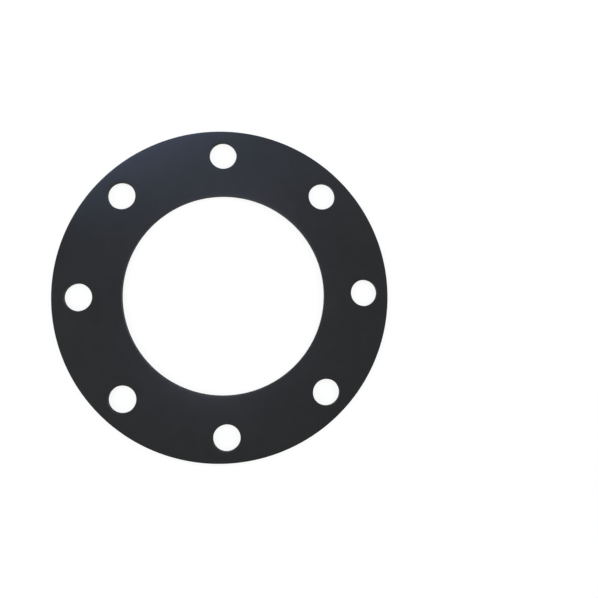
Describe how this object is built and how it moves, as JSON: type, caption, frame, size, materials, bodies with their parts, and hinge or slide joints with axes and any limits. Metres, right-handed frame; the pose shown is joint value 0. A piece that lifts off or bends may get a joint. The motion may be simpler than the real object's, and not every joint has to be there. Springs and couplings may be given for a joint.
{
  "type": "rubber flange gasket",
  "caption": "Flat full-face rubber gasket that seals a bolted pipe flange, with a wide bore and a ring of bolt holes.",
  "frame": {"origin": "centre of the lower face, on the axis of the bore, where the gasket rests", "axes": "+Z along the bore axis, up through the thickness to the knife's side; +Y from the centre to the first bolt hole"},
  "size_m": [0.235, 0.235, 0.003],
  "materials": {
    "rubber": "satin"
  },
  "bodies": {
    "root": {"flange_gasket": "rubber"}
  },
  "joints": []
}
